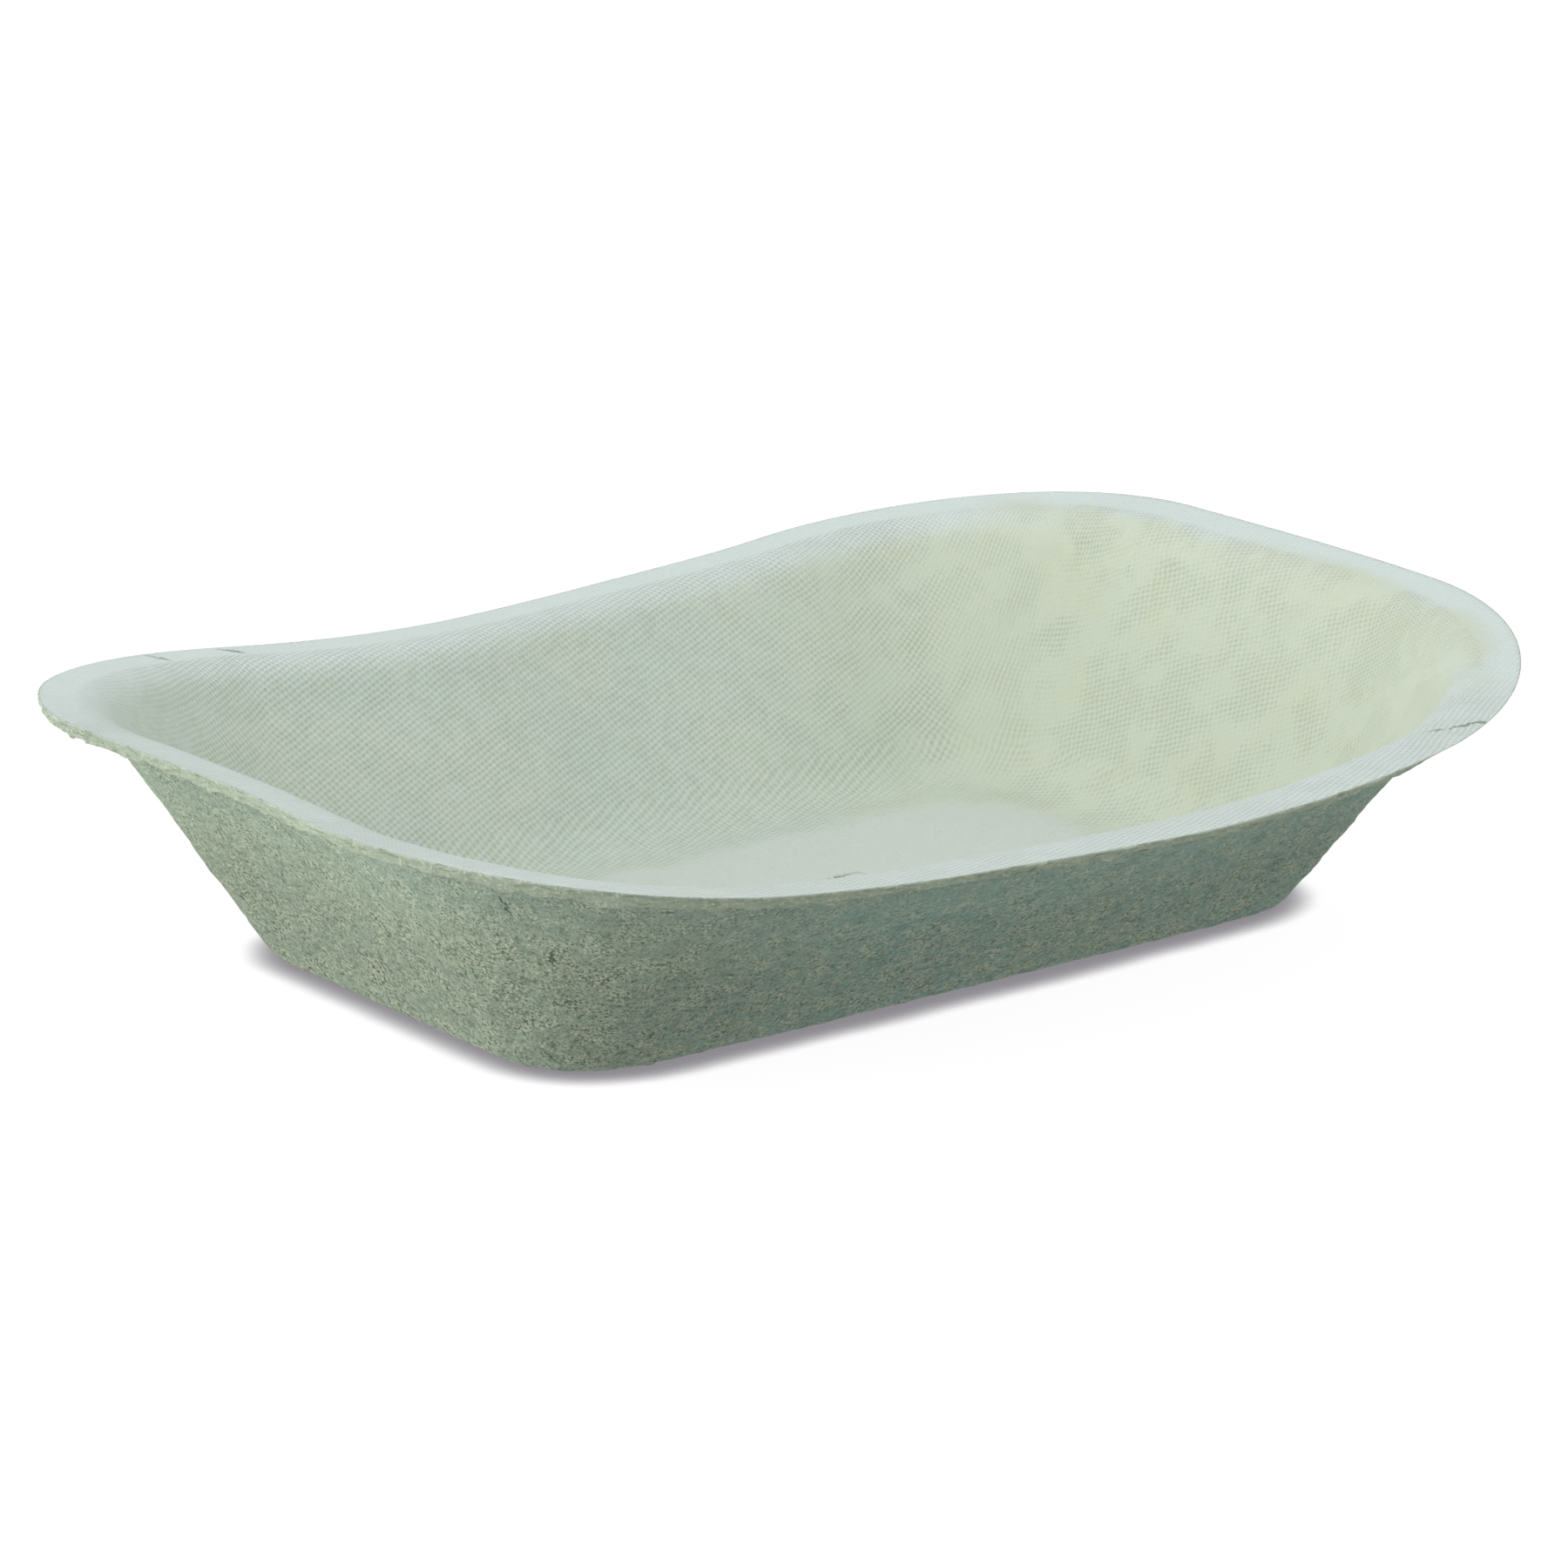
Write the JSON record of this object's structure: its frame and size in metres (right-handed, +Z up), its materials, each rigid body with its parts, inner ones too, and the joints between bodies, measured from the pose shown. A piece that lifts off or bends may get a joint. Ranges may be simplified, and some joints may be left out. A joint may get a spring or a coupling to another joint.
{
  "type": "kidney dish",
  "caption": "Shallow hospital dish moulded in one piece from paper pulp: soft-cornered and slightly bean-shaped, with flared walls and a dipping flange.",
  "frame": {"origin": "centre of the bounding box in plan, on the surface that the dish stands on", "axes": "+X along the dish's length, +Y to the long side that curves in, +Z up out of the dish"},
  "size_m": [0.2556, 0.1936, 0.0514],
  "materials": {
    "moulded_pulp": "matt, mesh-printed inside, rough fibres outside"
  },
  "bodies": {
    "root": {"dish": "moulded_pulp"}
  },
  "joints": []
}
